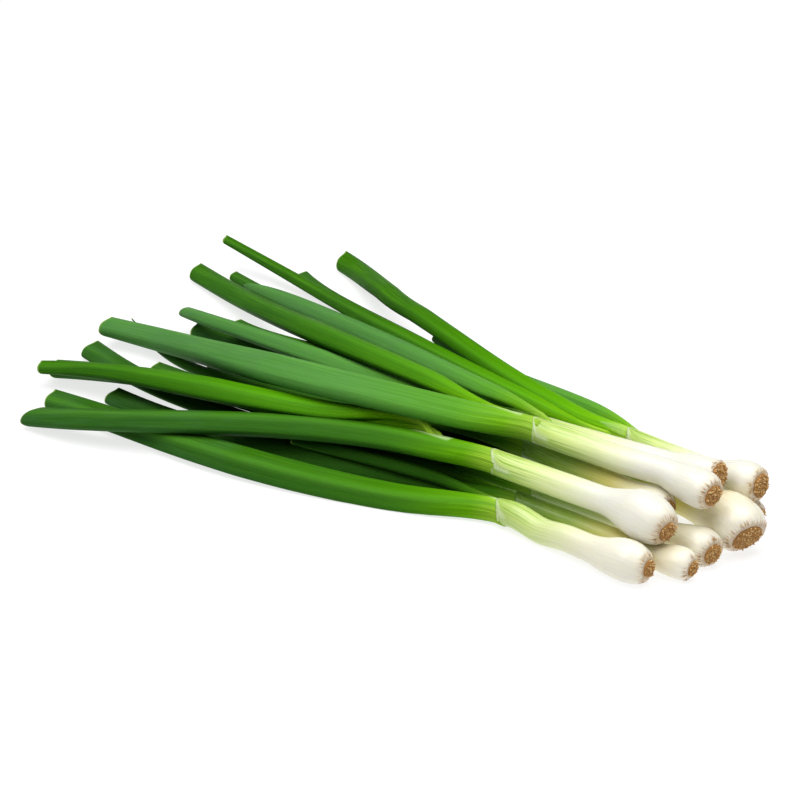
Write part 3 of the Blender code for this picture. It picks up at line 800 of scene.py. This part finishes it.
# The root plate: radius and height of its rings, as shares of its radius and in millimetres.
PLATE_SHARE = 0.9
PLATE_SIDES = 32
PLATE_RINGS = ((0.9, -1.2), (1.03, 0.0), (1.0, 0.35), (0.86, 0.65), (0.55, 0.8), (0.2, 0.8))
PLATE_WOBBLE = 0.07
PLATE_ROUGHNESS = 0.3
PLATE_EDGE = 0.95
PLATE_TONE = 0.2

# Short trimmed roots all over it. Rings have a share of the length and of the thickness. A drawn
# value has a pair: the least, and the most that is added. Feet are lower towards the edge.
ROOTS_PER_AREA = 11
ROOT_SIDES = 5
ROOT_RINGS = ((0.0, 1.1), (0.4, 1.05), (0.8, 0.95), (1.0, 0.7))
ROOT_LENGTH = (0.35, 0.75)
ROOT_TONE = (0.35, 0.45)
ROOT_THICKNESS = (0.15, 0.16)
ROOT_SPREAD = 0.8
ROOT_STRAY = 0.3
ROOT_BEND = 0.2
FOOT_TONE = 0.1
FEET_REACH = 0.96
FEET_HEIGHT = 0.6
FEET_FALL = 0.5

# Dry hairs that lie back over the bulb.
HAIRS_PER_RADIUS = 20
HAIR_SIDES = 3
HAIR_RINGS = ((0, 1.0), (0.35, 0.8), (0.7, 0.6), (1.0, 0.25))
HAIR_LEAST = 0.4
HAIR_MORE = 1.4
HAIR_START = 0.5
HAIR_SWEEP = 0.12
HAIR_LIFT = (0.12, 0.25)
HAIR_THICKNESS = (0.07, 0.04)
HAIR_TONE = (0.3, 0.35)


class Tuft:
    """Points, faces and tones of the roots of an onion."""

    def __init__(self, number, stem):
        self.onion = ONIONS[number]
        self.chance = np.random.RandomState(500 + number)
        self.stem = stem
        self.radius = self.onion.root_share * self.onion.radii[0] * PLATE_SHARE
        self.out = -stem.along[0]
        self.points = []
        self.faces = []
        self.tones = []

    def add(self, rings, tones):
        first = len(self.points)
        for ring, tone in zip(rings, tones):
            self.points.extend(ring)
            self.tones.extend([tone] * len(ring))
        for face in skin_faces(len(rings), len(rings[0])):
            self.faces.append(tuple(first + i for i in face))

    def add_plate(self):
        angles = ring_angles(PLATE_SIDES)
        rings = []
        for share, height in PLATE_RINGS:
            reach = self.radius * share * (1 + PLATE_WOBBLE * self.chance.rand(PLATE_SIDES))
            rough = PLATE_ROUGHNESS * self.chance.rand(PLATE_SIDES) * (share < PLATE_EDGE)
            ring = self.stem.points(np.cos(angles) * reach, np.sin(angles) * reach, 0)
            rings.append(ring + (height + rough)[:, None] * self.out)
        self.add(rings, [PLATE_TONE] * len(rings))

    def drawn(self, pair, share=1.0):
        least, more = pair
        return least + more * share * self.chance.rand()

    def radial(self, angle):
        return math.cos(angle) * self.stem.side[0] + math.sin(angle) * self.stem.up[0]

    def add_root(self):
        chance = self.chance
        distance = math.sqrt(chance.rand())
        radial = self.radial(chance.rand() * FULL_TURN)
        leaning = radial * ROOT_SPREAD * distance**2
        way = unit(self.out + leaning + chance.normal(0, ROOT_STRAY, 3))
        foot = self.stem.centre[0] + radial * self.radius * distance * FEET_REACH
        foot = foot + self.out * (FEET_HEIGHT - FEET_FALL * distance**3)
        length = self.drawn(ROOT_LENGTH)
        tone = self.drawn(ROOT_TONE)
        bend = chance.normal(0, ROOT_BEND, 3)
        thickness = self.drawn(ROOT_THICKNESS)
        a = unit(np.cross(way, self.stem.up[0] + 0.3 * self.stem.side[0]))
        b = np.cross(way, a)
        corners = np.arange(ROOT_SIDES) * FULL_TURN / ROOT_SIDES
        round_it = np.cos(corners)[:, None] * a - np.sin(corners)[:, None] * b
        rings = []
        for share, thin in ROOT_RINGS:
            centre = foot + (way * share + bend * share**2) * length
            rings.append(centre + round_it * thickness * thin)
        self.add(rings, [FOOT_TONE, tone * 0.8, tone, tone + 0.2])

    def add_hair(self):
        chance = self.chance
        angle = chance.rand() * FULL_TURN
        radial = self.radial(angle)
        tangent = self.radial(angle + math.pi / 2)
        reach = HAIR_LEAST + HAIR_MORE * chance.rand() ** 2
        start = chance.rand() * HAIR_START
        sweep = chance.normal(0, HAIR_SWEEP)
        path = []
        for share, _ in HAIR_RINGS:
            back = min(start + reach * share, self.onion.head * self.onion.radii[0])
            height = shank_girth(self.onion, np.array([back]))[0] + self.drawn(HAIR_LIFT, share)
            aside = tangent * sweep * reach * share
            path.append(self.stem.centre[0] - self.out * back + radial * height + aside)
        corners = np.arange(HAIR_SIDES) * FULL_TURN / HAIR_SIDES
        round_it = np.cos(corners)[:, None] * tangent + np.sin(corners)[:, None] * radial
        rings = []
        for centre, (_, thin) in zip(path, HAIR_RINGS):
            rings.append(centre + round_it * thin * self.drawn(HAIR_THICKNESS))
        self.add(rings, [self.drawn(HAIR_TONE)] * len(rings))


def build_roots(number, stem, material):
    """A rough root plate with short trimmed roots, and dry hairs lying back over the bulb."""
    tuft = Tuft(number, stem)
    tuft.add_plate()
    for _ in range(int(ROOTS_PER_AREA * tuft.radius**2)):
        tuft.add_root()
    for _ in range(int(HAIRS_PER_RADIUS * tuft.radius)):
        tuft.add_hair()
    points = above(tuft.points, ROOT_LEAST)
    name = node_of(number, "roots")
    values = {"tone": tuft.tones}
    add_piece(f"{name}_tuft", points, tuft.faces, material, values, name)


# Materials

class Shader:
    """A material whose nodes are added one by one, and the colour that it has so far."""

    def __init__(self, name):
        self.material = bpy.data.materials.new(name)
        self.material.use_nodes = True
        self.tree = self.material.node_tree
        self.colour = None

    def feed(self, socket, value):
        if isinstance(value, bpy.types.NodeSocket):
            self.tree.links.new(value, socket)
        elif socket.type == "RGBA":
            socket.default_value = (*value, 1.0)
        else:
            socket.default_value = value

    def node(self, kind, inputs, output=0, **settings):
        """Adds a node with its settings, feeds its inputs and gives one of its outputs."""
        node = self.tree.nodes.new(f"ShaderNode{kind}")
        for key, value in settings.items():
            setattr(node, key, value)
        for key, value in inputs.items():
            self.feed(node.inputs[key], value)
        return node.outputs[output]

    def attribute(self, name, output="Fac"):
        return self.node("Attribute", {}, output, attribute_name=name)

    def place(self):
        return self.node("TexCoord", {}, "Object")

    def maths(self, operation, a, b, clamp=False):
        return self.node("Math", {0: a, 1: b}, operation=operation, use_clamp=clamp)

    def times(self, a, b):
        return self.maths("MULTIPLY", a, b, clamp=True)

    def span(self, value, low, high, first=0.0, last=1.0):
        """First below low, last above high, and a soft change between."""
        ends = {"From Min": low, "From Max": high, "To Min": first, "To Max": last}
        return self.node("MapRange", {"Value": value, **ends}, interpolation_type="SMOOTHSTEP")

    def ramp(self, value, stops):
        result = self.node("ValToRGB", {"Fac": value}, "Color")
        elements = result.node.color_ramp.elements
        while len(elements) < len(stops):
            elements.new(0.5)
        for element, (place, *colour) in zip(elements, stops):
            element.position = place
            element.color = (*colour, 1.0)
        return result

    def noise(self, vector, scale, stretch, detail=3.0, roughness=0.6):
        """Noise with its third axis pulled out by the stretch."""
        scales = (scale, scale, scale / stretch)
        vector = self.node("Mapping", {"Vector": vector, "Scale": scales})
        inputs = {"Vector": vector, "Scale": 1.0, "Detail": detail, "Roughness": roughness}
        return self.node("TexNoise", inputs, "Fac")

    def mix(self, share, a, b):
        # A mix node's sockets for colours come after those for numbers and vectors.
        return self.node("Mix", {0: share, 6: a, 7: b}, 2, data_type="RGBA")

    def tint(self, share, other):
        """Mixes another colour into the one so far."""
        self.colour = self.mix(share, self.colour, other)

    def bump(self, height, distance, strength):
        inputs = {"Height": height, "Distance": distance, "Strength": strength}
        return self.node("Bump", inputs, "Normal")

    def grained_bump(self, lines, fine, distance, strength):
        height = self.maths("ADD", self.times(lines, LINE_SHARE), self.times(fine, 1 - LINE_SHARE))
        return self.bump(height, distance, strength)

    def finish(self, roughness, normal, **constants):
        inputs = self.tree.nodes["Principled BSDF"].inputs
        constants.update(Base_Color=self.colour, Roughness=roughness, Normal=normal)
        for key, value in constants.items():
            self.feed(inputs[key.replace("_", " ")], value)
        return self.material


# Share of the broad lines in the bumps, the fine lines having the rest.
LINE_SHARE = 0.6

# Rows of stops have a place and a colour. Bulbs from root to collar, lit, and with painted shade and
# bounce light.
BULB_STOPS = (
    (0.0, 0.78, 0.72, 0.58), (0.05, 0.80, 0.78, 0.69), (0.36, 0.79, 0.785, 0.69),
    (0.55, 0.76, 0.80, 0.48), (0.75, 0.66, 0.78, 0.28), (1.0, 0.44, 0.63, 0.10),
)
SHADED_STOPS = (
    (0.0, 0.86, 0.83, 0.72), (0.15, 0.84, 0.77, 0.52), (0.35, 0.66, 0.58, 0.13),
    (0.65, 0.20, 0.32, 0.015), (1.0, 0.055, 0.15, 0.006),
)
GREEN_LINE = (0.20, 0.42, 0.018)
IVORY = (0.80, 0.76, 0.56)
ROOT_LINE = (0.50, 0.33, 0.16)
ROOT_RIM = (0.45, 0.27, 0.10)
TORN_SKIN = (0.68, 0.76, 0.50)

# Leaves from the foot on, and the length from first to last.
LEAF_LENGTH = 150.0
YOUNG_STOPS = (
    (0.0, 0.42, 0.66, 0.045), (0.07, 0.20, 0.50, 0.004), (0.25, 0.105, 0.37, 0.002),
    (0.6, 0.052, 0.215, 0.001), (1.0, 0.026, 0.12, 0.002),
)
OLD_STOPS = (
    (0.0, 0.30, 0.52, 0.04), (0.06, 0.10, 0.32, 0.003), (0.14, 0.048, 0.195, 0.001),
    (0.32, 0.022, 0.098, 0.002), (1.0, 0.020, 0.075, 0.009),
)
WAXY_STOPS = (
    (0.0, 0.34, 0.56, 0.05), (0.07, 0.19, 0.46, 0.008), (0.2, 0.11, 0.35, 0.020),
    (0.5, 0.095, 0.29, 0.050), (1.0, 0.070, 0.215, 0.048),
)
VEIN = (0.026, 0.12, 0.002)
PALE_VEIN_OLD = (0.06, 0.19, 0.015)
PALE_VEIN_YOUNG = (0.10, 0.32, 0.003)
PALE_VEIN_WAXY = (0.13, 0.34, 0.06)
# Painted shade on the lower side of leaves.
UNDERSIDE_SHADE = (0.016, 0.085, 0.008)
# Painted shade on the facet below a ridge.
FACET_SHADE_GREEN = (0.022, 0.088, 0.016)
FACET_SHADE_WAXY = (0.045, 0.15, 0.035)
BLOOM_GREEN = (0.048, 0.14, 0.05)
BLOOM_WAXY = (0.08, 0.20, 0.07)
# Painted highlight along the crest.
CREST_HIGHLIGHT = (0.10, 0.32, 0.03)
DEEP_SHADE = (0.012, 0.05, 0.003)
CUT_EDGE = (0.30, 0.46, 0.09)
HOLLOW = (0.05, 0.15, 0.012)
MEMBRANE = (0.50, 0.68, 0.30)

# Root fibre by its tone, and the table.
ROOT_STOPS = (
    (0.18, 0.15, 0.065, 0.02), (0.42, 0.38, 0.18, 0.04), (0.68, 0.60, 0.32, 0.08),
    (1.0, 0.84, 0.64, 0.33),
)
TABLE_STOPS = ((0.0, 0.27, 0.27, 0.27), (1.0, 0.30, 0.30, 0.30))
TABLE_GLOW = 0.75


def bulb_material():
    shader = Shader("bulb_skin_fine")
    share = shader.attribute("share")
    near = shader.attribute("root_near")
    shaded = shader.attribute("shaded")
    grain = shader.attribute("grain", "Vector")
    lines = shader.noise(grain, 1.7, 60.0)
    fine = shader.noise(grain, 4.5, 60.0, detail=2.0)
    root_lines = shader.noise(grain, 2.4, 16.0, roughness=0.7)
    tears = shader.noise(grain, 0.8, 1.0)

    in_light = shader.ramp(share, BULB_STOPS)
    # Shanks deep in the bunch get painted yellow bounce light and painted shade.
    shader.colour = shader.mix(shaded, in_light, shader.ramp(share, SHADED_STOPS))
    green = shader.times(shader.span(lines, 0.47, 0.6), shader.span(share, 0.45, 0.95, 0.0, 0.72))
    shader.tint(shader.times(green, shader.span(shaded, 0.3, 0.7, 1.0, 0.1)), GREEN_LINE)
    shader.tint(shader.times(shader.span(fine, 0.5, 0.7), 0.25), IVORY)
    brown = shader.times(shader.span(root_lines, 0.46, 0.62), shader.span(near, 0.0, 0.3, 1.0, 0.0))
    shader.tint(shader.times(brown, 0.5), ROOT_LINE)
    shader.tint(shader.span(near, 0.0, 0.06, 0.6, 0.0), ROOT_RIM)

    band = shader.times(shader.attribute("band"), 0.6)
    streak = shader.times(shader.attribute("streak"), 0.85)
    pale = shader.times(shader.maths("MAXIMUM", band, streak), shader.span(tears, 0.3, 0.55, 0.35))
    shader.tint(shader.times(pale, shader.span(fine, 0.3, 0.6, 1.0, 0.7)), TORN_SKIN)
    return shader.finish(
        shader.span(fine, 0.3, 0.7, 0.24, 0.36),
        shader.grained_bump(lines, fine, 0.00012, 0.7),
        Subsurface_Weight=0.3, Subsurface_Radius=(0.004, 0.0035, 0.0016), Subsurface_Scale=1.0,
        Coat_Weight=0.12, Coat_Roughness=0.15,
    )


def leaf_material(name, waxy):
    shader = Shader(name)
    run = shader.attribute("run")
    fresh = shader.attribute("fresh")
    grain = shader.attribute("grain", "Vector")
    growth = shader.maths("DIVIDE", run, LEAF_LENGTH, clamp=True)
    lines = shader.noise(grain, 1.5, 80.0)
    fine = shader.noise(grain, 3.6, 100.0, detail=2.0)
    blotch = shader.noise(grain, 0.12, 3.0)

    if waxy:
        shader.colour = shader.ramp(growth, WAXY_STOPS)
        pale_vein, facet_shade_tone, bloom_tone = PALE_VEIN_WAXY, FACET_SHADE_WAXY, BLOOM_WAXY
        bloom_share, most_rough = 0.4, 0.55
    else:
        old, young = shader.ramp(growth, OLD_STOPS), shader.ramp(growth, YOUNG_STOPS)
        shader.colour = shader.mix(fresh, old, young)
        pale_vein = shader.mix(fresh, PALE_VEIN_OLD, PALE_VEIN_YOUNG)
        facet_shade_tone, bloom_tone = FACET_SHADE_GREEN, BLOOM_GREEN
        bloom_share, most_rough = shader.span(fresh, 0.0, 1.0, 0.34, 0.02), 0.48

    veins = shader.times(shader.span(lines, 0.46, 0.6), shader.span(growth, 0.0, 0.2, 0.8, 0.45))
    shader.tint(shader.times(veins, 0.6), VEIN)
    shader.tint(shader.times(shader.span(fine, 0.48, 0.62), 0.42), pale_vein)
    # Painted shade on the lower side of each leaf.
    under = shader.span(shader.attribute("upward"), -0.3, 0.7, 0.55, 0.0)
    shader.tint(shader.times(under, shader.span(growth, 0.05, 0.3)), UNDERSIDE_SHADE)
    # Painted shade on the facet below the ridge.
    facet_shade = shader.times(shader.attribute("facet_shade"), shader.span(growth, 0.06, 0.3, 0.0, 0.55))
    shader.tint(facet_shade, facet_shade_tone)
    bloom = shader.times(shader.span(blotch, 0.40, 0.68), shader.span(growth, 0.25, 0.7))
    shader.tint(shader.times(bloom, bloom_share), bloom_tone)
    # A painted highlight along the ridge.
    shader.tint(shader.times(shader.attribute("crest_highlight"), 0.2), CREST_HIGHLIGHT)

    # Painted shade on the leaves deep in the bunch, strongest near their feet.
    near_foot = shader.span(run, 0, 30, 0.45, 0.85)
    shade = shader.maths("MINIMUM", near_foot, shader.span(run, 15, 120, 0.85, 0.0))
    shader.tint(shader.times(shade, shader.attribute("painted_shade")), DEEP_SHADE)
    shader.tint(shader.span(shader.attribute("to_tip"), 0.0, 0.9, 0.75, 0.0), CUT_EDGE)
    shader.tint(shader.attribute("inside"), HOLLOW)
    shader.tint(shader.times(shader.attribute("membrane"), 0.7), MEMBRANE)
    return shader.finish(
        shader.span(blotch, 0.3, 0.7, 0.4, most_rough),
        shader.grained_bump(lines, fine, 0.0003, 0.9),
        Specular_IOR_Level=0.015,
    )


def root_material():
    shader = Shader("root_fibre")
    speck = shader.noise(shader.place(), 1100.0, 1.0, roughness=0.7)
    tone = shader.maths("MULTIPLY", shader.attribute("tone"), 0.85)
    value = shader.maths("ADD", tone, shader.maths("MULTIPLY", speck, 0.4))
    shader.colour = shader.ramp(value, ROOT_STOPS)
    return shader.finish(shader.span(speck, 0.3, 0.7, 0.7, 0.9), shader.bump(speck, 0.0002, 0.8))


def floor_material():
    shader = Shader("pale_table")
    cloud = shader.noise(shader.place(), 6.0, 1.0, detail=2.0, roughness=0.5)
    shader.colour = shader.ramp(cloud, TABLE_STOPS)
    return shader.finish(
        shader.span(cloud, 0.0, 1.0, 0.75, 0.8), shader.bump(cloud, 0.00005, 0.2),
        Emission_Color=(1, 1, 1), Emission_Strength=TABLE_GLOW,
    )


# Building

def build_onion(number):
    """All pieces of an onion; the first of its rows in LEAVES is its first leaf."""
    onion = ONIONS[number]
    shank = shank_stem(number)
    build_bulb(number, shank, bulb_look)
    build_roots(number, shank, root_look)
    shank_plan = shank_path(onion, cad_runs(onion))
    keys = [key for key in LEAVES if key[:-1] == str(number)]
    first_leaf, first_rings = first_leaf_stem(number, keys[0], shank_plan)
    for key in keys:
        stem = first_leaf
        if key != keys[0]:
            stem = side_leaf_stem(number, key, shank_plan, first_rings, shank, first_leaf)
        build_leaf(number, key, stem, waxy_look if LEAVES[key].waxy else green_look)


bulb_look = bulb_material()
root_look = root_material()
green_look = leaf_material("leaf_green_fine", False)
waxy_look = leaf_material("leaf_waxy_fine", True)
for number in ONIONS:
    build_onion(number)


# Table, lights and camera, in metres

TABLE_HALF = 4.0
CAMERA_AZIMUTH = math.radians(40)
CAMERA_ELEVATION = math.radians(25)
CAMERA_DISTANCE = 0.92
CAMERA_LENS = 100
CAMERA_SENSOR = 36
WORLD_GLOW = 0.14


def add_floor():
    half = TABLE_HALF
    mesh = bpy.data.meshes.new("table_top")
    corners = [(-half, -half, 0), (half, -half, 0), (half, half, 0), (-half, half, 0)]
    mesh.from_pydata(corners, [], [(0, 1, 2, 3)])
    mesh.materials.append(floor_material())
    add_object("table_top", mesh)


def add_aimed(name, data, place, target):
    """A light or a camera at a place, aimed at the target."""
    aimed = add_object(name, data)
    aimed.location = place
    aimed.rotation_euler = (Vector(target) - Vector(place)).to_track_quat("-Z", "Y").to_euler()
    return aimed


def add_light(name, place, target, size, power):
    data = bpy.data.lights.new(name, "AREA")
    data.shape = "RECTANGLE"
    data.size, data.size_y = size
    data.energy = power
    add_aimed(name, data, place, target)


def add_world():
    world = bpy.data.worlds.new("studio")
    scene.world = world
    world.use_nodes = True
    background = world.node_tree.nodes["Background"]
    background.inputs["Color"].default_value = (1, 1, 1, 1)
    background.inputs["Strength"].default_value = WORLD_GLOW


def add_camera():
    level = math.cos(CAMERA_ELEVATION)
    target = Vector((*PLAN_SHIFT * MM, 0))
    way = Vector((
        math.sin(CAMERA_AZIMUTH) * level,
        -math.cos(CAMERA_AZIMUTH) * level,
        math.sin(CAMERA_ELEVATION),
    ))
    data = bpy.data.cameras.new("view")
    data.lens = CAMERA_LENS
    data.sensor_width = CAMERA_SENSOR
    place = target + way * CAMERA_DISTANCE
    scene.camera = add_aimed("view", data, place, target)


add_floor()
add_light("overhead", place=(0.05, -0.08, 1.15), target=(0, 0, 0), size=(1.8, 1.3), power=25)
add_light("front_left", place=(-0.1, -0.9, 0.8), target=(0.05, 0, 0), size=(0.35, 0.35), power=1.2)
add_world()
scene.view_settings.view_transform = "Standard"
add_camera()
